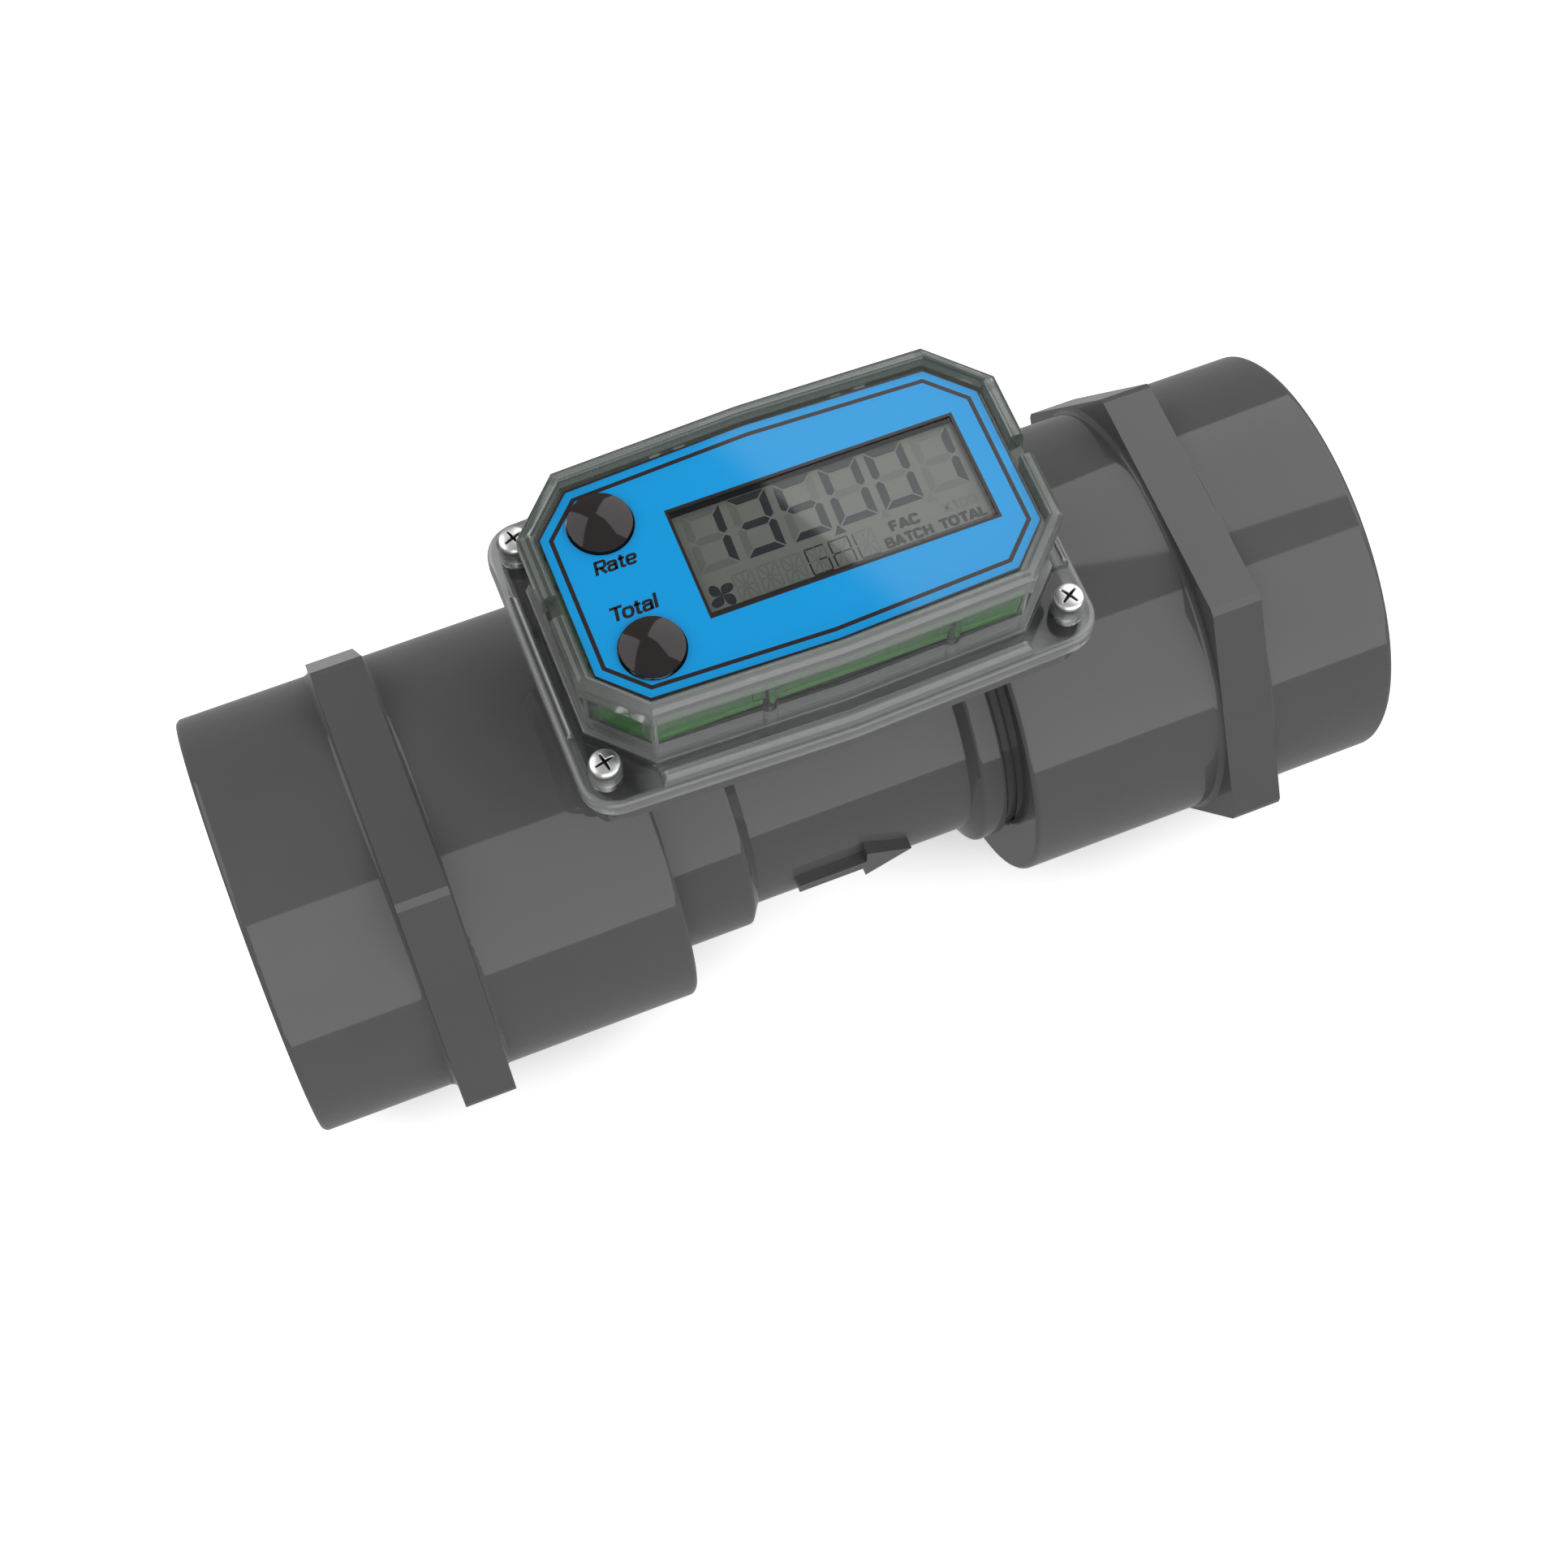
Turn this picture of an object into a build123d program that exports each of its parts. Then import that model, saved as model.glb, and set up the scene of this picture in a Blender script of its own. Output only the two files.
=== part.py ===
"""Turbine flow meter for a two-inch plastic pipe line, with a battery display on its deck.

Lengths are in millimetres and angles in degrees. X runs with the flow, from inlet to outlet. Z points
up to the display. The origin lies on the surface that the wrench bands rest on, midway between the
two ports, so the flow axis stands half a band above it.
"""

import os
from math import atan, cos, degrees, pi, sqrt

from build123d import *

os.makedirs("parts", exist_ok=True)

# Couplings: pipe thread at the outer end, cemented socket at the inner end
overall_length = 211.8
coupling_radius = 39.9
coupling_edge = 0.6
band_flats = 82.0
band_corner_radius = 46.9
band_width = 9.5
band_offset = 25.4
band_fillet = 1.0
port_radius = 29.9
port_depth = 28.0
port_chamfer = 1.6
socket_depth = 38.2
socket_chamfer = 0.8
coupling_length = 72.4
crest_pad_length = 11.5
crest_pad_width = 10.0
crest_pad_height = 0.5
crest_pad_corner = 2.0

# Turbine body: flow tube, collars, spigots, pedestal and deck in one moulding
tube_radius = 28.2
collar_radius = 31.5
collar_length = 14.4
collar_slope = 2.2
ring_start = 25.4
ring_slope = 1.6
ring_end = 31.8
ring_fillet = 0.8
spigot_radius = 30.15
spigot_gap = 1.0
cement_gap = 0.1
chamber_radius = 23.6
bore_radius = 24.6
chamber_length = 26.0
deck_rise = 57.2
deck_length = 88.0
deck_width = 54.2
deck_corner = 5.7
panel_bow = 1.5
peak_radius = 60.0
deck_thickness = 4.9
deck_edge = 0.6
pedestal_foot_length = 46.0
pedestal_foot_width = 24.0
pedestal_head_length = 60.0
pedestal_head_width = 36.0
pedestal_corner = 4.0
pedestal_foot_rise = 20.0
sensor_pocket_radius = 7.0
sensor_wall = 2.4
screw_boss_length = 5.0
screw_boss_radius = 2.6
arrow_length = 22.4
arrow_head_length = 9.1
arrow_head_width = 10.2
arrow_shaft_width = 2.9
arrow_height = 1.4
arrow_rise = 0.8
arrow_centre = 1.45

# Rotor and what carries it
blade_count = 6
blade_tip_gap = 0.5
blade_length = 14.0
blade_root_thickness = 2.0
blade_tip_thickness = 1.3
blade_lead = 112.0
hub_radius = 8.0
hub_length = 18.0
hub_edge = 1.2
shaft_radius = 1.5
shaft_overhang = 7.6
running_gap = 0.05
end_play = 0.3
bearing_radius = 3.2
bearing_flange_radius = 4.4
bearing_flange_thickness = 1.2
bearing_length = 8.0
magnet_radius = 6.0
magnet_length = 7.0
fit_gap = 0.05

# Flow straighteners
vane_count = 4
vane_thickness = 1.7
vane_edge = 0.75
vane_inset = 0.6
straightener_length = 16.0
straightener_wall = 1.9
straightener_gap = 0.1
nose_length = 15.0
retainer_thickness = 1.3
retainer_width = 2.2
retainer_depth = 1.1
retainer_gap = 0.1

# Display housing: clear moulding screwed to the deck
housing_length = 82.8
housing_width = 45.2
housing_corner = 8.8
housing_bow = 1.2
housing_height = 23.3
housing_wall = 1.8
flange_length = 92.2
flange_width = 56.1
flange_corner = 6.2
flange_lip = 3.1
flange_lip_edge = 0.8
ridge_inset = 0.9
ridge_height = 2.2
ridge_edge = 1.6
moat_width = 1.9
moat_depth = 1.5
foot_step = 0.9
foot_height = 4.9
foot_edge = 0.4
pocket_margin = 0.4
bead_step = 0.95
bead_height = 4.6
bead_edge = 1.5
bead_inner_edge = 0.6
latch_notch_width = 3.8
label_recess = 2.3
plate_thickness = 1.8
wall_rib_radius = 1.6
wall_rib_stand = 0.8
wall_pad_width = 6.3
wall_pad_height = 4.0
wall_pad_stand = 0.4
wall_rib_left = -12.8
wall_rib_right = 19.6
screw_spacing_x = 82.4
screw_spacing_y = 44.3
screw_stand_radius = 2.9
screw_stand_height = 4.0
board_post_radius = 1.4
board_post_x = 37.6
board_post_y = 10.5

# Face label, display glass and what stands on the circuit board
label_length = 77.8
label_width = 40.4
label_corner = 7.0
label_margin = 0.9
label_thickness = 0.3
window_left = -17.4
window_right = 32.6
window_front = -9.8
window_back = 10.4
glass_margin_x = 1.5
glass_margin_y = 2.4
glass_thickness = 2.8
glass_gap = 0.15
glass_rest = 0.3
frame_wall = 1.0
frame_ledge = 1.0
strip_thickness = 2.0
board_thickness = 1.6
board_drop = 9.6
board_gap = 0.4
chip_size = 9.0
chip_height = 1.4

# Push buttons and the switches under them
button_x = -28.5
rate_button_y = 12.4
total_button_y = -11.9
button_radius = 5.4
button_gap = 0.3
button_skirt = 0.9
button_dome = 1.2
button_lip = 0.9
button_lip_thickness = 1.0
button_travel = 0.8
stem_radius = 1.6
stem_length = 1.5
switch_size = 6.0
plunger_radius = 1.75
plunger_height = 1.9
press_gap = 0.1

# Batteries, sensor coil, gasket and screws
battery_radius = 12.0
battery_thickness = 5.0
battery_x = 19.5
battery_gap = 0.3
holder_wall = 1.6
contact_width = 6.0
contact_thickness = 0.4
lead_slot_radius = 4.5
coil_radius = 5.8
bobbin_flange_radius = 6.6
bobbin_flange_thickness = 1.4
bobbin_radius = 3.2
bobbin_length = 17.0
core_radius = 1.6
lead_radius = 0.35
lead_spacing = 4.4
gasket_width = 1.6
gasket_inset = 0.6
gasket_depth = 1.5
gasket_gap = 0.1
screw_head_radius = 2.62
screw_head_height = 1.9
screw_head_edge = 1.1
screw_shank_radius = 1.4
screw_length = 12.0
screw_gap = 0.15
screw_recess_length = 3.0
screw_recess_width = 0.65
screw_recess_depth = 1.0

# Heights and stations that follow from the sizes above
axis_height = band_flats / 2
deck_top = axis_height + deck_rise
socket_mouth = overall_length / 2 - coupling_length
socket_floor = socket_mouth + socket_depth
spigot_end = socket_floor - spigot_gap
plate_top = deck_top + housing_height - label_recess
plate_underside = plate_top - plate_thickness
board_top = plate_underside - board_drop
board_underside = board_top - board_thickness
stand_top = deck_top + flange_lip + screw_stand_height
straightener_start = chamber_length / 2
straightener_end = straightener_start + straightener_length
straightener_radius = bore_radius - straightener_gap
bearing_face = hub_length / 2 + end_play
flow_axis = Axis((0, 0, axis_height), (1, 0, 0))


def across(station, side=1):
    """Plane across the flow axis, that many millimetres from the middle and facing outwards."""
    return Plane(origin=(side * station, 0, axis_height), x_dir=(0, 1, 0), z_dir=(side, 0, 0))


def along(side=1):
    """Upright plane through the flow axis, its first axis outwards and its second upwards."""
    return Plane(origin=(0, 0, axis_height), x_dir=(side, 0, 0), z_dir=(0, -side, 0))


def bowed(height, length, width, bow, finish, size):
    """Rectangle whose long sides peak bluntly in the middle, its corners then rounded or cut."""
    half_length, half_width = length / 2, width / 2
    with BuildSketch(Plane.XY.offset(height), mode=Mode.PRIVATE) as outline:
        with BuildLine():
            Polyline(
                (-half_length, -half_width),
                (0, -half_width - bow),
                (half_length, -half_width),
                (half_length, half_width),
                (0, half_width + bow),
                (-half_length, half_width),
                close=True,
            )
        make_face()
        fillet(outline.vertices().filter_by(lambda v: abs(v.X) < bow), peak_radius)
        finish(outline.vertices().group_by(Axis.X)[0], size)
        finish(outline.vertices().group_by(Axis.X)[-1], size)
    return outline.sketch


def panel(height, length, width, corner):
    """Bowed rectangle with rounded corners, the shape of the deck and of the flange on it."""
    return bowed(height, length, width, panel_bow, fillet, corner)


def octagon(height, length, width, corner, grow=0.0):
    """Bowed rectangle with cut corners, every edge moved outwards by the same distance."""
    leg = corner + grow * (2 - sqrt(2))
    return bowed(height, length + 2 * grow, width + 2 * grow, housing_bow, chamfer, leg)


def housing_outline(height, grow=0.0):
    """Outline of the display housing's wall."""
    return octagon(height, housing_length, housing_width, housing_corner, grow)


def gasket_band(gap=0.0):
    """Closed band under the housing's wall, the gasket's own shape or its groove with the gap added."""
    floor = deck_top - gasket_depth
    outer = housing_outline(floor, gasket_width - gasket_inset + gap)
    return outer - housing_outline(floor, -gasket_inset - gap)


def coupling(side, node):
    """Coupling: threaded port outside, stop web, cemented socket inside, wrench band and crest pad."""
    port_face = overall_length / 2
    band_start = port_face - band_offset - band_width
    with BuildPart() as part:
        with BuildSketch(across(socket_mouth, side)):
            Circle(coupling_radius)
        extrude(amount=coupling_length)
        rims = part.edges().filter_by(GeomType.CIRCLE)
        chamfer(rims, coupling_edge)
        with BuildSketch(across(band_start, side)):
            RegularPolygon(band_flats / 2, 6, major_radius=False)
            Circle(band_corner_radius, mode=Mode.INTERSECT)
        extrude(amount=band_width)
        root = part.edges().filter_by(GeomType.CIRCLE)
        root = root.filter_by(lambda e: abs(e.radius - coupling_radius) < coupling_edge / 2)
        fillet(root, band_fillet)
        with BuildSketch(Plane.XY.offset(axis_height)):
            with Locations((side * (socket_mouth + crest_pad_length / 2), 0)):
                RectangleRounded(crest_pad_length, crest_pad_width, crest_pad_corner)
        extrude(amount=coupling_radius + crest_pad_height)
        with BuildSketch(across(socket_mouth, side)):
            Circle(spigot_radius + cement_gap)
        extrude(amount=socket_depth, mode=Mode.SUBTRACT)
        with BuildSketch(across(socket_mouth, side)):
            Circle(bore_radius)
        extrude(amount=coupling_length, mode=Mode.SUBTRACT)
        with BuildSketch(across(port_face - port_depth, side)):
            Circle(port_radius)
        extrude(amount=port_depth, mode=Mode.SUBTRACT)
        mouths = part.edges().filter_by(GeomType.CIRCLE)
        port_mouth = mouths.filter_by(lambda e: abs(abs(e.center().X) - port_face) < fit_gap)
        chamfer(port_mouth.sort_by(SortBy.RADIUS)[0], port_chamfer)
        mouths = part.edges().filter_by(GeomType.CIRCLE)
        socket_edge = mouths.filter_by(lambda e: abs(abs(e.center().X) - socket_mouth) < fit_gap)
        chamfer(socket_edge.sort_by(SortBy.RADIUS)[0], socket_chamfer)
    part.part.label = node
    export_step(part.part, f"parts/{node}.step")


coupling(-1, "inlet_coupling")
coupling(1, "outlet_coupling")

# Turbine body: the tube and its collars are turned about the flow axis
with BuildPart() as turbine_body:
    with BuildSketch(along()):
        with BuildLine():
            Polyline(
                (-spigot_end, 0),
                (-spigot_end, spigot_radius),
                (-socket_mouth, spigot_radius),
                (-socket_mouth, collar_radius),
                (-socket_mouth + collar_length, collar_radius),
                (-socket_mouth + collar_length + collar_slope, tube_radius),
                (ring_start, tube_radius),
                (ring_start + ring_slope, collar_radius),
                (ring_end, collar_radius),
                (ring_end, spigot_radius),
                (spigot_end, spigot_radius),
                (spigot_end, 0),
                close=True,
            )
        make_face()
    revolve(axis=flow_axis)
    shoulders = turbine_body.edges().filter_by(GeomType.CIRCLE)
    shoulders = shoulders.filter_by(lambda e: abs(e.center().X) < ring_end + fit_gap)
    fillet(shoulders.filter_by(lambda e: abs(e.radius - collar_radius) < fit_gap), ring_fillet)
    spigot_rims = turbine_body.faces().filter_by(GeomType.PLANE).sort_by(Axis.X)
    chamfer([spigot_rims[0].edges()[0], spigot_rims[-1].edges()[0]], spigot_gap)
    # Pedestal, flaring from the tube up to the deck
    with BuildSketch(Plane.XY.offset(axis_height + pedestal_foot_rise)):
        RectangleRounded(pedestal_foot_length, pedestal_foot_width, pedestal_corner)
    with BuildSketch(Plane.XY.offset(deck_top - deck_thickness)):
        RectangleRounded(pedestal_head_length, pedestal_head_width, pedestal_corner)
    loft()
    extrude(panel(deck_top - deck_thickness, deck_length, deck_width, deck_corner), amount=deck_thickness)
    slab = turbine_body.faces().filter_by(Axis.Z).sort_by(Axis.Z)[-1]
    fillet(slab.edges(), deck_edge)
    with BuildSketch(Plane.XY.offset(deck_top - deck_thickness - screw_boss_length)):
        with GridLocations(screw_spacing_x, screw_spacing_y, 2, 2):
            Circle(screw_boss_radius)
    extrude(amount=screw_boss_length)
    # Raised arrow, pointing with the flow
    with BuildSketch(along().move(Location((arrow_centre, 0, arrow_rise)))):
        with BuildLine():
            Polyline(
                (-arrow_length / 2, -arrow_shaft_width / 2),
                (arrow_length / 2 - arrow_head_length, -arrow_shaft_width / 2),
                (arrow_length / 2 - arrow_head_length, -arrow_head_width / 2),
                (arrow_length / 2, 0),
                (arrow_length / 2 - arrow_head_length, arrow_head_width / 2),
                (arrow_length / 2 - arrow_head_length, arrow_shaft_width / 2),
                (-arrow_length / 2, arrow_shaft_width / 2),
                close=True,
            )
        make_face()
    extrude(amount=tube_radius + arrow_height)
    # Flow passage: rotor chamber, a counterbore each side and a groove for each retaining ring
    with BuildSketch(across(-spigot_end)):
        Circle(chamber_radius)
    extrude(amount=2 * spigot_end, mode=Mode.SUBTRACT)
    for side in (-1, 1):
        with BuildSketch(across(straightener_start, side)):
            Circle(bore_radius)
        extrude(amount=spigot_end - straightener_start, mode=Mode.SUBTRACT)
        with BuildSketch(across(straightener_end + fit_gap, side)):
            Circle(bore_radius + retainer_depth)
        extrude(amount=retainer_thickness + 2 * fit_gap, mode=Mode.SUBTRACT)
    # Sensor pocket, gasket groove and pilot holes, all sunk from the deck
    with BuildSketch(Plane.XY.offset(axis_height + chamber_radius + sensor_wall)):
        Circle(sensor_pocket_radius)
    extrude(amount=deck_rise, mode=Mode.SUBTRACT)
    extrude(gasket_band(gasket_gap), amount=gasket_depth, mode=Mode.SUBTRACT)
    with BuildSketch(Plane.XY.offset(stand_top - screw_length - screw_gap)):
        with GridLocations(screw_spacing_x, screw_spacing_y, 2, 2):
            Circle(screw_shank_radius + fit_gap)
    extrude(amount=screw_length, mode=Mode.SUBTRACT)
turbine_body.part.label = "turbine_body"
export_step(turbine_body.part, "parts/turbine_body.step")


def straightener(side, node):
    """Flow straightener: ring in the bore, radial vanes, and a hub with a blunt nose facing its port."""
    hub_start = bearing_face + bearing_flange_thickness
    nose_tip = straightener_end + nose_length
    vane_foot = hub_radius - vane_thickness
    vane_span = straightener_radius - straightener_wall / 2 - vane_foot
    with BuildPart() as part:
        with BuildSketch(across(straightener_start + vane_inset, side)):
            with PolarLocations(vane_foot + vane_span / 2, vane_count, start_angle=180 / vane_count):
                Rectangle(vane_span, vane_thickness)
        extrude(amount=straightener_length - 2 * vane_inset)
        leading_edges = part.edges().filter_by(lambda e: abs(e.length - vane_span) < fit_gap)
        fillet(leading_edges, vane_edge)
        with BuildSketch(across(straightener_start, side)):
            Circle(straightener_radius)
            Circle(straightener_radius - straightener_wall, mode=Mode.SUBTRACT)
        extrude(amount=straightener_length)
        with BuildSketch(along(side)):
            with BuildLine():
                barrel = Line((hub_start, hub_radius), (straightener_end, hub_radius))
                EllipticalCenterArc((straightener_end, 0), nose_length, hub_radius, arc_size=90)
                Polyline((nose_tip, 0), (hub_start, 0), barrel @ 0)
            make_face()
        revolve(axis=flow_axis)
        with BuildSketch(across(hub_start, side)):
            Circle(bearing_radius + fit_gap)
        extrude(amount=bearing_length, mode=Mode.SUBTRACT)
    part.part.label = node
    export_step(part.part, f"parts/{node}.step")


straightener(-1, "inlet_straightener")
straightener(1, "outlet_straightener")


def bearing(side, node):
    """Flanged journal bearing, pressed into the hub of a straightener."""
    with BuildPart() as part:
        with BuildSketch(across(bearing_face, side)):
            Circle(bearing_flange_radius)
        extrude(amount=bearing_flange_thickness)
        with BuildSketch(across(bearing_face, side)):
            Circle(bearing_radius)
        extrude(amount=bearing_length)
        with BuildSketch(across(bearing_face, side)):
            Circle(shaft_radius + running_gap)
        extrude(amount=bearing_length, mode=Mode.SUBTRACT)
    part.part.label = node
    export_step(part.part, f"parts/{node}.step")


bearing(-1, "inlet_bearing")
bearing(1, "outlet_bearing")


def retaining_ring(side, node):
    """Open spring ring that snaps into the bore's groove and holds a straightener in."""
    with BuildPart() as part:
        with BuildSketch(across(straightener_end + 2 * fit_gap, side)):
            Circle(bore_radius + retainer_depth - retainer_gap)
            Circle(bore_radius + retainer_depth - retainer_gap - retainer_width, mode=Mode.SUBTRACT)
            opening = retainer_width + bore_radius
            with Locations((0, -opening / 2 - retainer_width)):
                Rectangle(2 * retainer_width, opening, mode=Mode.SUBTRACT)
        extrude(amount=retainer_thickness - 2 * fit_gap)
    part.part.label = node
    export_step(part.part, f"parts/{node}.step")


retaining_ring(-1, "inlet_retaining_ring")
retaining_ring(1, "outlet_retaining_ring")


# Rotor: six twisted blades on a hub, each blade lofted outwards from the hub in its own frame
tip_radius = chamber_radius - blade_tip_gap
blade_middle = (hub_radius + tip_radius) / 2
with BuildPart() as blade:
    for radius in (hub_radius - blade_root_thickness, blade_middle, tip_radius + blade_tip_gap):
        pitch = atan(2 * pi * radius / blade_lead)
        share = (radius - hub_radius) / (tip_radius - hub_radius)
        thickness = blade_root_thickness + share * (blade_tip_thickness - blade_root_thickness)
        with BuildSketch(Plane(origin=(radius, 0, 0), x_dir=(0, 0, 1), z_dir=(1, 0, 0))):
            SlotOverall(blade_length / cos(pitch), thickness, rotation=degrees(pitch))
    loft()

with BuildPart(across(0)) as rotor:
    with PolarLocations(0, blade_count):
        add(blade.part)
    Cylinder(tip_radius, hub_length, mode=Mode.INTERSECT)
    Cylinder(hub_radius, hub_length)
    chamfer(rotor.faces().filter_by(Axis.X).edges().filter_by(GeomType.CIRCLE), hub_edge)
    Cylinder(shaft_radius + fit_gap, hub_length, mode=Mode.SUBTRACT)
    with BuildSketch(across(hub_length / 2 - magnet_length)):
        Circle(magnet_radius + fit_gap)
    extrude(amount=magnet_length, mode=Mode.SUBTRACT)
rotor.part.label = "rotor"
export_step(rotor.part, "parts/rotor.step")

with BuildPart() as rotor_magnet:
    with BuildSketch(across(hub_length / 2 - magnet_length)):
        Circle(magnet_radius)
        Circle(shaft_radius + fit_gap, mode=Mode.SUBTRACT)
    extrude(amount=magnet_length)
rotor_magnet.part.label = "rotor_magnet"
export_step(rotor_magnet.part, "parts/rotor_magnet.step")

with BuildPart() as rotor_shaft:
    with BuildSketch(across(-hub_length / 2 - shaft_overhang)):
        Circle(shaft_radius)
    extrude(amount=hub_length + 2 * shaft_overhang)
    chamfer(rotor_shaft.edges().filter_by(GeomType.CIRCLE), shaft_radius / 5)
rotor_shaft.part.label = "rotor_shaft"
export_step(rotor_shaft.part, "parts/rotor_shaft.step")

# Display housing: flange with a lip and ridge, screw stands in its corner pockets, walls and bead
ridge_base = deck_top + flange_lip
ridge_top = ridge_base + ridge_height
housing_top = deck_top + housing_height
with BuildPart() as display_housing:
    extrude(panel(deck_top, flange_length, flange_width, flange_corner), amount=flange_lip)
    fillet(display_housing.faces().sort_by(Axis.Z)[-1].edges(), flange_lip_edge)
    ridge_length = flange_length - 2 * ridge_inset
    ridge_width = flange_width - 2 * ridge_inset
    extrude(panel(ridge_base, ridge_length, ridge_width, flange_corner - ridge_inset), amount=ridge_height)
    pocket_length = housing_length - 2 * housing_corner + 2 * pocket_margin
    pocket_width = housing_width - 2 * housing_corner + 2 * pocket_margin
    with BuildSketch(Plane.XY.offset(ridge_base)):
        with GridLocations(pocket_length + flange_length, pocket_width + flange_width, 2, 2):
            Rectangle(flange_length, flange_width)
    extrude(amount=ridge_height, mode=Mode.SUBTRACT)
    fillet(display_housing.faces().sort_by(Axis.Z)[-1].edges(), ridge_edge)
    moat = housing_outline(ridge_top - moat_depth, foot_step + moat_width)
    extrude(moat, amount=moat_depth, mode=Mode.SUBTRACT)
    extrude(housing_outline(deck_top, foot_step), amount=foot_height)
    foot_top = display_housing.faces().filter_by(Axis.Z).sort_by(SortBy.AREA)[-2]
    fillet(foot_top.edges(), foot_edge)
    extrude(housing_outline(deck_top), amount=housing_height)
    bead_start = housing_top - bead_height
    extrude(housing_outline(bead_start, bead_step), amount=bead_height)
    fillet(display_housing.faces().sort_by(Axis.Z)[-1].edges(), bead_edge)
    for x in (wall_rib_left, wall_rib_right):
        wall_y = housing_width / 2 + housing_bow * (1 - abs(x) / (housing_length / 2 - housing_corner))
        with BuildSketch(Plane.XY.offset(deck_top + foot_height)):
            with GridLocations(0, 2 * (wall_y + wall_rib_stand - wall_rib_radius), 1, 2):
                with Locations((x, 0)):
                    Circle(wall_rib_radius)
        extrude(amount=bead_start - deck_top - foot_height)
        with BuildSketch(Plane.XY.offset(bead_start - wall_pad_height)):
            with GridLocations(0, 2 * (wall_y + wall_pad_stand) - housing_wall, 1, 2):
                with Locations((x, 0)):
                    Rectangle(wall_pad_width, housing_wall)
        extrude(amount=wall_pad_height)
    with BuildSketch(Plane.XY.offset(ridge_base)):
        with GridLocations(screw_spacing_x, screw_spacing_y, 2, 2):
            Circle(screw_stand_radius)
    extrude(amount=screw_stand_height)
    # Recess for the label, and a notch through the bead at each end
    recess = octagon(plate_top, label_length, label_width, label_corner, label_margin)
    extrude(recess, amount=label_recess, mode=Mode.SUBTRACT)
    fillet(display_housing.faces().sort_by(Axis.Z)[-1].inner_wires()[0].edges(), bead_inner_edge)
    with BuildSketch(Plane.XY.offset(plate_top)):
        Rectangle(housing_length + 4 * bead_step, latch_notch_width)
    extrude(amount=label_recess, mode=Mode.SUBTRACT)
    with BuildSketch(Plane.XY.offset(bead_start)):
        Rectangle(housing_length + 4 * bead_step, latch_notch_width)
        Rectangle(housing_length, latch_notch_width, mode=Mode.SUBTRACT)
    extrude(amount=bead_height, mode=Mode.SUBTRACT)
    # Hollow inside, with posts down to the circuit board
    cavity = housing_outline(deck_top, -housing_wall)
    extrude(cavity, amount=plate_underside - deck_top, mode=Mode.SUBTRACT)
    with BuildSketch(Plane.XY.offset(board_top)):
        with GridLocations(2 * board_post_x, 2 * board_post_y, 2, 2):
            Circle(board_post_radius)
    extrude(amount=plate_underside - board_top)
    with BuildSketch(Plane.XY.offset(plate_underside)):
        with Locations((button_x, rate_button_y), (button_x, total_button_y)):
            Circle(button_radius + button_gap)
    extrude(amount=plate_thickness, mode=Mode.SUBTRACT)
    with BuildSketch(Plane.XY.offset(deck_top)):
        with GridLocations(screw_spacing_x, screw_spacing_y, 2, 2):
            Circle(screw_shank_radius + screw_gap)
    extrude(amount=stand_top - deck_top, mode=Mode.SUBTRACT)
display_housing.part.label = "display_housing"
export_step(display_housing.part, "parts/display_housing.step")

with BuildPart() as housing_gasket:
    extrude(gasket_band(), amount=gasket_depth)
housing_gasket.part.label = "housing_gasket"
export_step(housing_gasket.part, "parts/housing_gasket.step")

# Four like screws share one node
with BuildPart() as housing_screws:
    with BuildSketch(Plane.XY.offset(stand_top - screw_length)):
        with GridLocations(screw_spacing_x, screw_spacing_y, 2, 2):
            Circle(screw_shank_radius)
    extrude(amount=screw_length)
    with BuildSketch(Plane.XY.offset(stand_top)):
        with GridLocations(screw_spacing_x, screw_spacing_y, 2, 2):
            Circle(screw_head_radius)
    extrude(amount=screw_head_height)
    fillet(housing_screws.edges().group_by(Axis.Z)[-1], screw_head_edge)
    with BuildSketch(Plane.XY.offset(stand_top + screw_head_height)):
        with GridLocations(screw_spacing_x, screw_spacing_y, 2, 2):
            Rectangle(screw_recess_length, screw_recess_width)
            Rectangle(screw_recess_width, screw_recess_length)
    extrude(amount=-screw_recess_depth, mode=Mode.SUBTRACT)
housing_screws.part.label = "housing_screws"
export_step(housing_screws.part, "parts/housing_screws.step")

# Face label, with openings for the display window and both buttons
window_length = window_right - window_left
window_width = window_back - window_front
window_x = (window_left + window_right) / 2
window_y = (window_front + window_back) / 2
with BuildPart() as face_label:
    label_shape = octagon(plate_top, label_length, label_width, label_corner)
    extrude(label_shape, amount=label_thickness)
    with BuildSketch(Plane.XY.offset(plate_top)):
        with Locations((window_x, window_y)):
            Rectangle(window_length, window_width)
        with Locations((button_x, rate_button_y), (button_x, total_button_y)):
            Circle(button_radius + button_gap)
    extrude(amount=label_thickness, mode=Mode.SUBTRACT)
face_label.part.label = "face_label"
export_step(face_label.part, "parts/face_label.step")

# Display glass in its frame, joined to the board by two elastomer strips
glass_length = window_length + 2 * glass_margin_x
glass_width = window_width + 2 * glass_margin_y
glass_top = plate_underside - glass_rest
glass_underside = glass_top - glass_thickness
frame_length = glass_length + 2 * glass_gap + 2 * frame_wall
frame_width = glass_width + 2 * glass_gap + 2 * frame_wall
with BuildPart() as display_glass:
    with BuildSketch(Plane.XY.offset(glass_underside)):
        with Locations((window_x, window_y)):
            Rectangle(glass_length, glass_width)
    extrude(amount=glass_thickness)
display_glass.part.label = "display_glass"
export_step(display_glass.part, "parts/display_glass.step")

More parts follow.
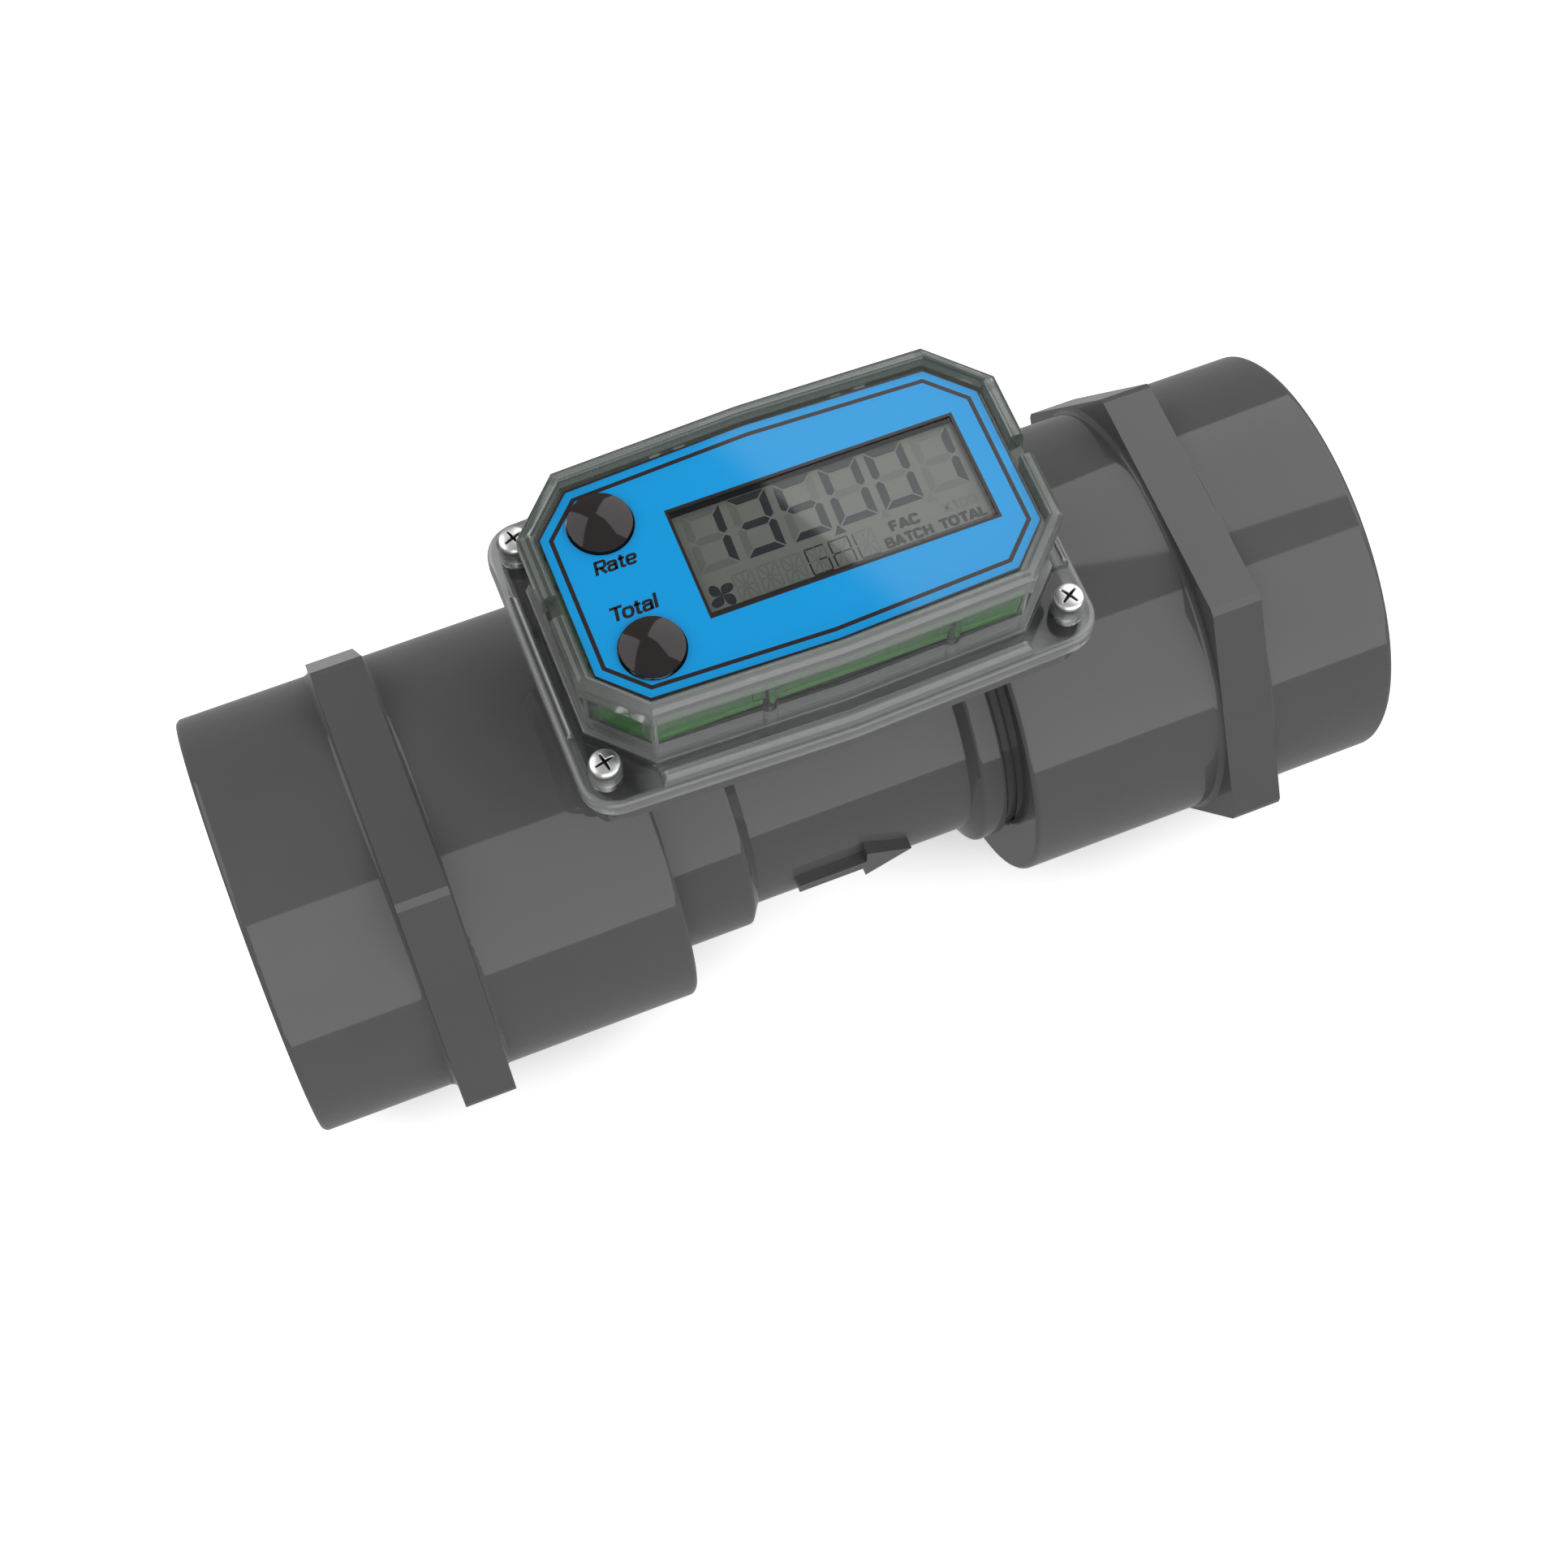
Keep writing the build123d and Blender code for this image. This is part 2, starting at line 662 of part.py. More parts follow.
with BuildPart() as display_frame:
    with BuildSketch(Plane.XY.offset(board_top)):
        with Locations((window_x, window_y)):
            Rectangle(frame_length, frame_width)
            ledge = 2 * frame_wall + 2 * frame_ledge
            Rectangle(frame_length - ledge, frame_width - ledge, mode=Mode.SUBTRACT)
    extrude(amount=glass_top - board_top)
    with BuildSketch(Plane.XY.offset(glass_underside)):
        with Locations((window_x, window_y)):
            Rectangle(glass_length + 2 * glass_gap, glass_width + 2 * glass_gap)
    extrude(amount=glass_thickness, mode=Mode.SUBTRACT)
display_frame.part.label = "display_frame"
export_step(display_frame.part, "parts/display_frame.step")

with BuildPart() as contact_strips:
    strip_y = frame_width / 2 - frame_wall - frame_ledge - strip_thickness / 2 - glass_gap
    with BuildSketch(Plane.XY.offset(board_top)):
        with Locations((window_x, window_y + strip_y), (window_x, window_y - strip_y)):
            Rectangle(window_length - 2 * strip_thickness, strip_thickness)
    extrude(amount=glass_underside - board_top)
contact_strips.part.label = "contact_strips"
export_step(contact_strips.part, "parts/contact_strips.step")

with BuildPart() as circuit_board:
    inset = housing_wall + board_gap
    with BuildSketch(Plane.XY.offset(board_underside)) as board_shape:
        Rectangle(housing_length - 2 * inset, housing_width - 2 * inset)
        chamfer(board_shape.vertices(), housing_corner - inset * (2 - sqrt(2)))
    extrude(amount=board_thickness)
circuit_board.part.label = "circuit_board"
export_step(circuit_board.part, "parts/circuit_board.step")

with BuildPart() as controller_chip:
    with BuildSketch(Plane.XY.offset(board_top)):
        with Locations((window_x, window_y)):
            Rectangle(chip_size, chip_size)
    extrude(amount=chip_height)
controller_chip.part.label = "controller_chip"
export_step(controller_chip.part, "parts/controller_chip.step")

# Push buttons: dome and skirt above the plate, lip held under it, stem over the switch
cap_edge = plate_top + label_thickness + button_skirt
lip_underside = plate_underside - button_lip_thickness
stem_end = lip_underside - stem_length
plunger_top = stem_end - button_travel - press_gap


def push_button(y, node):
    """Button turned about its own upright axis: stem, lip, skirt and a shallow dome."""
    with BuildPart() as part:
        with BuildSketch(Plane(origin=(button_x, y, 0), x_dir=(1, 0, 0), z_dir=(0, -1, 0))):
            with BuildLine():
                Polyline(
                    (0, cap_edge + button_dome),
                    (0, stem_end),
                    (stem_radius, stem_end),
                    (stem_radius, lip_underside),
                    (button_radius + button_lip, lip_underside),
                    (button_radius + button_lip, plate_underside),
                    (button_radius, plate_underside),
                    (button_radius, cap_edge),
                )
                dome_rise = button_dome / 2 + button_radius**2 / (2 * button_dome)
                RadiusArc((button_radius, cap_edge), (0, cap_edge + button_dome), -dome_rise)
            make_face()
        revolve(axis=Axis((button_x, y, 0), (0, 0, 1)))
    part.part.label = node
    export_step(part.part, f"parts/{node}.step")


push_button(rate_button_y, "rate_button")
push_button(total_button_y, "total_button")


def switch(y, node):
    """Sealed push switch on the board, its plunger just under the button's stem."""
    with BuildPart() as part:
        with BuildSketch(Plane.XY.offset(board_top)):
            with Locations((button_x, y)):
                Rectangle(switch_size, switch_size)
        extrude(amount=plunger_top - plunger_height - board_top)
        with BuildSketch(Plane.XY.offset(plunger_top - plunger_height)):
            with Locations((button_x, y)):
                Circle(plunger_radius)
        extrude(amount=plunger_height)
    part.part.label = node
    export_step(part.part, f"parts/{node}.step")


switch(rate_button_y, "rate_switch")
switch(total_button_y, "total_switch")

# Battery tray between the deck and the board, with a cell each side of the sensor leads
pocket_depth = battery_thickness + contact_thickness
pocket_floor = board_underside - pocket_depth
tray_length = 2 * (battery_x + battery_radius + battery_gap + holder_wall)
tray_width = 2 * (battery_radius + battery_gap + holder_wall)
with BuildPart() as battery_tray:
    with BuildSketch(Plane.XY.offset(deck_top)):
        RectangleRounded(tray_length, tray_width, holder_wall)
        Circle(lead_slot_radius, mode=Mode.SUBTRACT)
    extrude(amount=board_underside - deck_top)
    with BuildSketch(Plane.XY.offset(pocket_floor)):
        with Locations((-battery_x, 0), (battery_x, 0)):
            Circle(battery_radius + battery_gap)
    extrude(amount=pocket_depth, mode=Mode.SUBTRACT)
battery_tray.part.label = "battery_tray"
export_step(battery_tray.part, "parts/battery_tray.step")

for side, node in ((-1, "left_battery"), (1, "right_battery")):
    with BuildPart() as battery:
        with BuildSketch(Plane.XY.offset(pocket_floor)):
            with Locations((side * battery_x, 0)):
                Circle(battery_radius)
        extrude(amount=battery_thickness)
        chamfer(battery.edges().group_by(Axis.Z)[-1], contact_thickness)
    battery.part.label = node
    export_step(battery.part, f"parts/{node}.step")

with BuildPart() as battery_contacts:
    with BuildSketch(Plane.XY.offset(board_underside - contact_thickness)):
        with Locations((-battery_x, 0), (battery_x, 0)):
            Rectangle(contact_width, battery_radius)
    extrude(amount=contact_thickness)
battery_contacts.part.label = "battery_contacts"
export_step(battery_contacts.part, "parts/battery_contacts.step")

# Sensor: core, bobbin and winding at the foot of the pocket, and two leads up to the board
pocket_base = axis_height + chamber_radius + sensor_wall
with BuildPart() as coil_bobbin:
    for height in (pocket_base, pocket_base + bobbin_length - bobbin_flange_thickness):
        with BuildSketch(Plane.XY.offset(height)):
            Circle(bobbin_flange_radius)
        extrude(amount=bobbin_flange_thickness)
    with BuildSketch(Plane.XY.offset(pocket_base)):
        Circle(bobbin_radius)
    extrude(amount=bobbin_length)
    with BuildSketch(Plane.XY.offset(pocket_base)):
        Circle(core_radius + fit_gap)
    extrude(amount=bobbin_length, mode=Mode.SUBTRACT)
coil_bobbin.part.label = "coil_bobbin"
export_step(coil_bobbin.part, "parts/coil_bobbin.step")

with BuildPart() as coil_winding:
    with BuildSketch(Plane.XY.offset(pocket_base + bobbin_flange_thickness)):
        Circle(coil_radius)
        Circle(bobbin_radius + fit_gap, mode=Mode.SUBTRACT)
    extrude(amount=bobbin_length - 2 * bobbin_flange_thickness)
coil_winding.part.label = "coil_winding"
export_step(coil_winding.part, "parts/coil_winding.step")

with BuildPart() as coil_core:
    with BuildSketch(Plane.XY.offset(pocket_base)):
        Circle(core_radius)
    extrude(amount=bobbin_length + bobbin_flange_thickness)
coil_core.part.label = "coil_core"
export_step(coil_core.part, "parts/coil_core.step")

with BuildPart() as coil_leads:
    with BuildSketch(Plane.XY.offset(pocket_base + bobbin_length)):
        with GridLocations(lead_spacing, 0, 2, 1):
            Circle(lead_radius)
    extrude(amount=board_underside - pocket_base - bobbin_length)
coil_leads.part.label = "coil_leads"
export_step(coil_leads.part, "parts/coil_leads.step")
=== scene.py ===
"""Looks of the turbine flow meter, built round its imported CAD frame. Metres; +X with the flow, +Z up."""

import functools
import math

import bpy
import numpy as np
from mathutils import Matrix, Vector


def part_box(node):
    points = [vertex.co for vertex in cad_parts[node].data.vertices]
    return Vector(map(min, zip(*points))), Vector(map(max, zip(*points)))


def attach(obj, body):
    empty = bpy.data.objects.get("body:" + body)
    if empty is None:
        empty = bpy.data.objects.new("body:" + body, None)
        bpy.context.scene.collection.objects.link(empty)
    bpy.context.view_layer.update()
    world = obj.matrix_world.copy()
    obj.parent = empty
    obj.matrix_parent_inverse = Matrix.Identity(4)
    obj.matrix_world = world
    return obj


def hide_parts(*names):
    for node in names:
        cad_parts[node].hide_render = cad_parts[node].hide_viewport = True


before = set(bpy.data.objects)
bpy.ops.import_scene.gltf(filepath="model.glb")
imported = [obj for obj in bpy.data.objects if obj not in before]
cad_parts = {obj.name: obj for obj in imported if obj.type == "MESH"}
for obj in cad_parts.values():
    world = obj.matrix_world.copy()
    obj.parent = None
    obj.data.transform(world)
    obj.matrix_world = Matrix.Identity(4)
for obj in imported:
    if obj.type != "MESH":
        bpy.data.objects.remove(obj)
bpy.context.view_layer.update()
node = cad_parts
scene = bpy.context.scene

# Camera: a still camera with a long lens, high over the inlet's near side and turned down to the
# face of the display. It is given by what is right, up and behind for it, and by where it stands.
camera_right = (0.92819, -0.37202, 0.00736)
camera_up = (0.33642, 0.84748, 0.41060)
camera_behind = (-0.15899, -0.37864, 0.91178)
camera_stand = (-0.08292, -0.19982, 0.50791)
camera = bpy.data.objects.new("camera", bpy.data.cameras.new("camera"))
scene.collection.objects.link(camera)
camera.matrix_world = Matrix(
    ((*camera_right, 0), (*camera_up, 0), (*camera_behind, 0), (*camera_stand, 1))
).transposed()
camera.data.sensor_width = 36
camera.data.lens = 62.414
camera.data.shift_x = -0.00513
camera.data.shift_y = -0.01415
camera.data.clip_start = 0.02
scene.camera = camera
scene.view_settings.view_transform = "Standard"


# Light: a plain grey room, a tall soft panel in front of the meter and two soft panels lying over
# it, one past its outlet and one past its inlet. Each is a flat glowing sheet with crisp edges.
def feed(socket, value):
    """Sets an input socket, or links it to another socket or to a node's first output."""
    if isinstance(value, bpy.types.Node):
        value = value.outputs[0]
    if isinstance(value, bpy.types.NodeSocket):
        socket.id_data.links.new(value, socket)
    elif value is not None:
        socket.default_value = value


def added(tree, kind, *values, **named):
    """A new shader node. Values go to its sockets in their order, and named ones with a capital to
    the socket of that name, with _ for a space. Names in small letters are the node's settings."""
    made = tree.nodes.new("ShaderNode" + kind)
    for name, value in named.items():
        if name.islower():
            setattr(made, name, value)
        else:
            feed(made.inputs[name.replace("_", " ")], value)
    for socket, value in zip(made.inputs, values):
        feed(socket, value)
    return made


def bare_material(name):
    """A material with an empty node tree, and that tree."""
    made = bpy.data.materials.new(name)
    made.use_nodes = True
    made.node_tree.nodes.clear()
    return made, made.node_tree


def placed(name, points, faces, made):
    """A piece with that mesh and material, its object at the origin."""
    mesh = bpy.data.meshes.new(name)
    mesh.from_pydata(points, [], faces)
    mesh.materials.append(made)
    piece = bpy.data.objects.new(name, mesh)
    scene.collection.objects.link(piece)
    return piece


def panel(name, corners, strength):
    """A flat light through the given corners, hidden from the camera itself."""
    glow, tree = bare_material(name)
    added(tree, "OutputMaterial", added(tree, "Emission", Strength=strength))
    sheet = placed(name, corners, [tuple(range(len(corners)))], glow)
    sheet.visible_camera = False


scene.world = bpy.data.worlds.new("room")
scene.world.use_nodes = True
room = scene.world.node_tree
room.nodes.clear()
to_camera = added(room, "LightPath").outputs["Is Camera Ray"]
grey = added(room, "Background", Color=(0.3, 0.3, 0.3, 1))
white = added(room, "Background", Color=(1, 1, 1, 1))
added(room, "OutputWorld", added(room, "MixShader", to_camera, grey, white))

front_left, front_right, front_y, front_top, ceiling = -1.2, 2.6, -1.6, 3.9, 1.62
front_sky = [(front_left, 0), (front_right, 0), (front_right, front_top), (front_left, front_top)]
outlet_sky = [(0.15, 1.2), (0.378, 0.678), (0.45, 0.375), (0.5775, -0.045), (1.05, -0.33), (4.5, -1.2),
              (4.5, 6.9), (1.35, 3.3)]
inlet_sky = [(-0.205, 1.08), (-1.015, 2.91), (-4.66, 6.75), (-4.66, -0.9), (-0.955, -0.12)]
panel("front_panel", [(x, front_y, z) for x, z in front_sky], 1.55)
panel("outlet_panel", [(x, y, ceiling) for x, y in outlet_sky], 1.55)
panel("inlet_panel", [(x, y, ceiling) for x, y in inlet_sky], 1.4)

# Floor: a plain white paper sweep, on which the meter rests with its lower wrench flats. It keeps
# a soft shadow, drawn tighter where a piece comes close, and is grey to what mirrors it.
floor_reach = 4
paper, tree = bare_material("paper")
path = added(tree, "LightPath").outputs
nearness = added(tree, "AmbientOcclusion", samples=8, Distance=0.024).outputs["AO"]
lift = added(tree, "MapRange", Value=nearness, From_Min=0.2, From_Max=0.62, To_Min=0.2, To_Max=0.67)
seen = added(tree, "AddShader", added(tree, "BsdfDiffuse", Color=(0.85, 0.85, 0.85, 1)),
             added(tree, "Emission", Strength=lift))
bounce = added(tree, "BsdfDiffuse", Color=(0.7, 0.7, 0.7, 1))
direct = added(tree, "Math", path["Is Camera Ray"], path["Is Transmission Ray"], operation="MAXIMUM")
lit_floor = added(tree, "MixShader", direct, bounce, seen)
mirrored = added(tree, "Emission", Strength=0.32)
added(tree, "OutputMaterial", added(tree, "MixShader", path["Is Glossy Ray"], lit_floor, mirrored))
floor_corners = [(x * floor_reach, y * floor_reach, 0) for x, y in ((-1, -1), (1, -1), (1, 1), (-1, 1))]
placed("floor", floor_corners, [(0, 1, 2, 3)], paper)


# Couplings and turbine body: grey rigid PVC straight from the mould, the couplings cemented over
# the body's spigots. The surface is satin, with a faint flow mottle and a fine ripple.
def substance(name, colour, roughness, mottle=0.0, scale=60.0, ripple=0.0, **sockets):
    """Principled material. Noise in object space darkens the colour by up to the mottle, and bumps
    the surface by the ripple."""
    made = bpy.data.materials.new(name)
    made.use_nodes = True
    tree = made.node_tree
    shader = tree.nodes["Principled BSDF"].inputs
    feed(shader["Base Color"], (*colour, 1))
    feed(shader["Roughness"], roughness)
    for socket, value in sockets.items():
        feed(shader[socket.replace("_", " ")], value)
    if mottle or ripple:
        place = added(tree, "TexCoord").outputs["Object"]
        noise = added(tree, "TexNoise", Vector=place, Scale=scale, Detail=5).outputs["Fac"]
    if mottle:
        shade = added(tree, "MapRange", Value=noise, From_Min=0.3, From_Max=0.7, To_Min=1 - mottle, To_Max=1)
        feed(shader["Base Color"], added(tree, "VectorMath", colour, operation="SCALE", Scale=shade))
    if ripple:
        feed(shader["Normal"], added(tree, "Bump", Strength=ripple, Distance=0.0001, Height=noise))
    return made


def clothe(names, made):
    """Gives CAD nodes a material."""
    for name in names.split():
        mesh = node[name].data
        mesh.materials.clear()
        mesh.materials.append(made)


pvc = substance("pvc", (0.092, 0.092, 0.093), 0.06, mottle=0.06, scale=45, ripple=0.02)
clothe("inlet_coupling outlet_coupling turbine_body", pvc)

# Port threads: tapered pipe threads of the couplings' own PVC, eleven and a half turns to the inch.
# They are moulded inside each mouth, and run out smoothly at both ends. The taper is left out.
port_wall, thread_height, thread_pitch = 0.02988, 0.0015, 0.002209
thread_start, thread_length, run_out, port_back = 0.0018, 0.0260, 0.0022, 0.03
thread_end = thread_length + 0.0002
port_face, flow_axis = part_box("outlet_coupling")[1].x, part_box("outlet_coupling")[1].z / 2


def helix_skin(name, length, pitch, steps, around, radius_at, place, made, flip, back=None):
    """Round skin whose radius at each depth and angle is radius_at(depth, phase), where the phase is
    the share of a turn between that point and the helix through it. There are so many steps to a
    turn of the helix. Both ends are carried to a flat back wall of the given radius or, with none,
    closed at a pole."""
    spots = np.arange(around) * 2 * np.pi / around
    depth, angle = np.meshgrid(np.linspace(0, length, int(length / pitch * steps) + 1), spots, indexing="ij")
    radius = radius_at(depth, (depth / pitch - angle / (2 * np.pi)) % 1)
    if back:
        depth = np.vstack([depth, depth[-1:], depth[:1]])
        angle = np.vstack([angle, angle[:2]])
        radius = np.vstack([radius, np.full((2, around), back)])
    points = place(depth, radius * np.cos(angle), radius * np.sin(angle)).reshape(-1, 3)
    rows, order = len(depth), -1 if flip else 1
    row, col = np.meshgrid(np.arange(rows if back else rows - 1), np.arange(around), indexing="ij")
    here, ahead, beside = row * around, (row + 1) % rows * around, (col + 1) % around
    faces = np.stack([here + col, here + beside, ahead + beside, ahead + col], -1).reshape(-1, 4)
    smooth = np.ones(len(faces), bool)
    faces = faces[:, ::order].tolist()
    if back:
        smooth[-3 * around:] = False
    else:
        points = np.concatenate([points, place(np.array([0, length]), np.zeros(2), np.zeros(2))])
        col, beside, pole = col[0], beside[0], rows * around
        first = np.stack([np.full(around, pole), beside, col], -1)
        last = np.stack([np.full(around, pole + 1), col + pole - around, beside + pole - around], -1)
        faces += np.concatenate([first, last])[:, ::order].tolist()
        smooth = np.concatenate([smooth, np.zeros(2 * around, bool)])
    skin = placed(name, points.tolist(), faces, made)
    skin.data.polygons.foreach_set("use_smooth", smooth)
    return skin


def pipe_thread(depth, phase):
    """Radius of the port's wall, less the thread's height times a crest with a flat top and straight
    flanks over one turn, and times a fade from each end."""
    crest = np.clip(1.15 - np.abs(phase - 0.5) * 2.6, 0, 1)
    fade = np.clip(depth / run_out, 0, 1) * np.clip((thread_end - depth) / run_out, 0, 1)
    return port_wall - thread_height * crest * fade


for side, word in ((-1, "inlet"), (1, "outlet")):
    def in_port(depth, across, up):
        """Points at a depth in this side's port, across it and up from the flow axis."""
        return np.stack([side * (port_face - thread_start - depth), across, flow_axis + up], -1)

    thread = helix_skin(word + "_port_thread", thread_length, thread_pitch, steps=12, around=120,
                        radius_at=pipe_thread, place=in_port, made=pvc, flip=side < 0, back=port_back)
    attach(thread, "meter")

# Rotor, straighteners and their bearings: off-white moulded fluoroplastic, ceramic journals, a
# ground shaft and a sintered magnet. Spring rings of brushed steel hold them in the bore.
ivory = substance("ivory", (0.72, 0.69, 0.6), 0.38, mottle=0.06, scale=120, ripple=0.15,
                  Subsurface_Weight=0.12, Subsurface_Radius=(0.002, 0.0016, 0.001))
clothe("rotor inlet_straightener outlet_straightener", ivory)
clothe("inlet_bearing outlet_bearing", substance("ceramic", (0.8, 0.79, 0.74), 0.2, mottle=0.05, scale=900))
steel = substance("steel", (0.6, 0.6, 0.6), 0.24, mottle=0.12, scale=700, ripple=0.1, Metallic=1.0)
clothe("inlet_retaining_ring outlet_retaining_ring rotor_shaft", steel)
ferrite = substance("ferrite", (0.05, 0.05, 0.052), 0.55, mottle=0.2, scale=1500)
clothe("rotor_magnet", ferrite)

# Sensor and power: enamelled copper wire wound on a black bobbin round a ferrite core, pushed into
# the deck's pocket. Two steel coin cells lie over it in a grey moulded tray with sheet contacts.
black_resin = substance("black_resin", (0.015, 0.015, 0.016), 0.35, mottle=0.2, scale=900)
copper = substance("copper", (0.66, 0.26, 0.12), 0.3, mottle=0.3, scale=2000, Metallic=1.0)
clothe("coil_bobbin", black_resin)
clothe("coil_core", ferrite)
clothe("coil_winding coil_leads", copper)
clothe("battery_tray", substance("tray", (0.08, 0.08, 0.082), 0.4, mottle=0.1, scale=200))
clothe("left_battery right_battery battery_contacts", steel)


# Circuit board: green lacquer over woven glass. Its green is painted far brighter than the lacquer's
# own, as painted light for the light that the housing keeps from it, and brighter still where its sawn
# edge shows through the windows of the housing. A black chip and two switches are soldered on it, and
# two strips of rubber stand on it to carry the glass.
def reckon(operation, *values):
    """A Math node on sockets or numbers, in the tree that the sockets belong to."""
    tree = next(value.id_data for value in values if hasattr(value, "id_data"))
    return added(tree, "Math", *values, operation=operation).outputs[0]


def overlay(made, share, colour):
    """Lays a colour over a material's own, by the share that a socket gives."""
    base = made.node_tree.nodes["Principled BSDF"].inputs["Base Color"]
    below_it = base.links[0].from_socket
    mixed = added(made.node_tree, "Mix", data_type="RGBA", Factor=share, A=below_it, B=(*colour, 1))
    feed(base, mixed.outputs["Result"])


# Painted light: the green is lifted well above the lacquer's own, for light lost inside the housing.
board = substance("board", (0.22, 0.84, 0.2), 0.35, mottle=0.25, scale=900)
facing = added(board.node_tree, "SeparateXYZ", added(board.node_tree, "NewGeometry").outputs["True Normal"])
# Painted light: upright faces, the sawn edge, are painted a brighter green than the top.
overlay(board, reckon("SUBTRACT", 1, reckon("ABSOLUTE", facing.outputs["Z"])), (0.28, 0.95, 0.2))
clothe("circuit_board", board)
clothe("controller_chip rate_switch total_switch", black_resin)
clothe("contact_strips", substance("elastomer", (0.55, 0.54, 0.5), 0.6, mottle=0.3, scale=2500))

# Display glass: grey-green reflective ground under the polariser, with a black mask printed round
# its view. The mask's top band reaches a little below the window in the film, and that strip is
# painted shade from the housing's plate over it. It is clamped on the rubber strips by a frame of
# black plastic.
view_left, view_right, view_low, view_high = -0.0175, 0.033, -0.00855, 0.01
ground = substance("lcd_ground", (0.32, 0.325, 0.285), 0.5, mottle=0.05, scale=3000, Specular_IOR_Level=0.02)
mask = substance("lcd_mask", (0.002, 0.008, 0.02), 0.4, mottle=0.1, scale=200, Specular_IOR_Level=0.02)
clothe("display_glass", ground)
clothe("display_frame", substance("bezel", (0.01, 0.01, 0.012), 0.3, mottle=0.1, scale=300))
(glass_left, glass_low, _), (glass_right, glass_high, glass_top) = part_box("display_glass")
unlit_level, lit_level, mask_level = glass_top + 0.00002, glass_top + 0.00004, glass_top + 0.00006


def printed(name, outlines, level, made):
    """Flat faces on the glass, one for each outline of (x, y) points, at that level."""
    points, faces = [], []
    for outline in outlines:
        faces.append(tuple(range(len(points), len(points) + len(outline))))
        points.extend((x, y, level) for x, y in outline)
    piece = placed(name, points, faces, made)
    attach(piece, "meter")


def oblong(left, low, right, high):
    """The corners of an upright oblong."""
    return [(left, low), (right, low), (right, high), (left, high)]


printed("lcd_mask", [
    oblong(glass_left, glass_low, glass_right, view_low),
    # Top band: printed mask, and below the film's window edge painted shade from the plate.
    oblong(glass_left, view_high, glass_right, glass_high),
    oblong(glass_left, view_low, view_left, view_high),
    oblong(view_right, view_low, glass_right, view_high),
], mask_level, mask)

# Digits: six seven-segment figures of liquid crystal under the glass, in millimetres. The segments
# that are on are dark, and those that are off are still faintly seen.
dark = substance("lcd_dark", (0.022, 0.028, 0.038), 0.5, mottle=0.1, scale=900, Specular_IOR_Level=0.02)
faint = substance("lcd_faint", (0.25, 0.258, 0.23), 0.5, mottle=0.05, scale=3000, Specular_IOR_Level=0.02)
stroke, gap, digit_foot, digit_middle, digit_head, digit_width = 1.4, 0.2, -1.6, 4.2, 9.85, 6.8
first_digit, digit_pitch, lean = -16.0, 8.13, 0.035
lit, unlit = [], []


def segments(left):
    """The seven outlines, a to g, of a figure whose left side is there. The ends are mitred at half
    a right angle, and a gap is left between each two."""
    right, half, t, g = left + digit_width, stroke / 2, stroke, gap
    head, middle, foot = digit_head, digit_middle, digit_foot

    def upright(outer, inner, end, sign):
        """An upright segment from the figure's end to its middle; the sign is 1 above the middle."""
        return [(outer, end - sign * g), (inner, end - sign * (t + g)), (inner, middle + sign * (half + g)),
                ((outer + inner) / 2, middle + sign * g), (outer, middle + sign * (g + 0.35 * t))]

    return {
        "a": [(left + g, head), (right - g, head), (right - t - g, head - t), (left + t + g, head - t)],
        "b": upright(right, right - t, head, 1), "f": upright(left, left + t, head, 1),
        "c": upright(right, right - t, foot, -1), "e": upright(left, left + t, foot, -1),
        "d": [(left + g, foot), (right - g, foot), (right - t - g, foot + t), (left + t + g, foot + t)],
        "g": [(left + half + g, middle), (left + t + g, middle + half), (right - t - g, middle + half),
              (right - half - g, middle), (right - t - g, middle - half), (left + t + g, middle - half)],
    }


def in_metres(outline, x=0.0, y=0.0):
    """An outline in millimetres as metres, moved by x and y."""
    return [((across + x) / 1000, (up + y) / 1000) for across, up in outline]


for number, figure in enumerate(("bc", "abgcd", "afgcd", "abcdef", "abcdef", "bc")):
    for letter, outline in segments(first_digit + digit_pitch * number).items():
        leaning = [(across + lean * (up - digit_middle), up) for across, up in outline]
        (lit if letter in figure else unlit).append(in_metres(leaning))
for centre, shown in ((7.8, True), (15.95, False), (24.1, False)):
    (lit if shown else unlit).append(in_metres([(0, -1.0), (-1.05, -2.8), (1.05, -2.8)], centre))

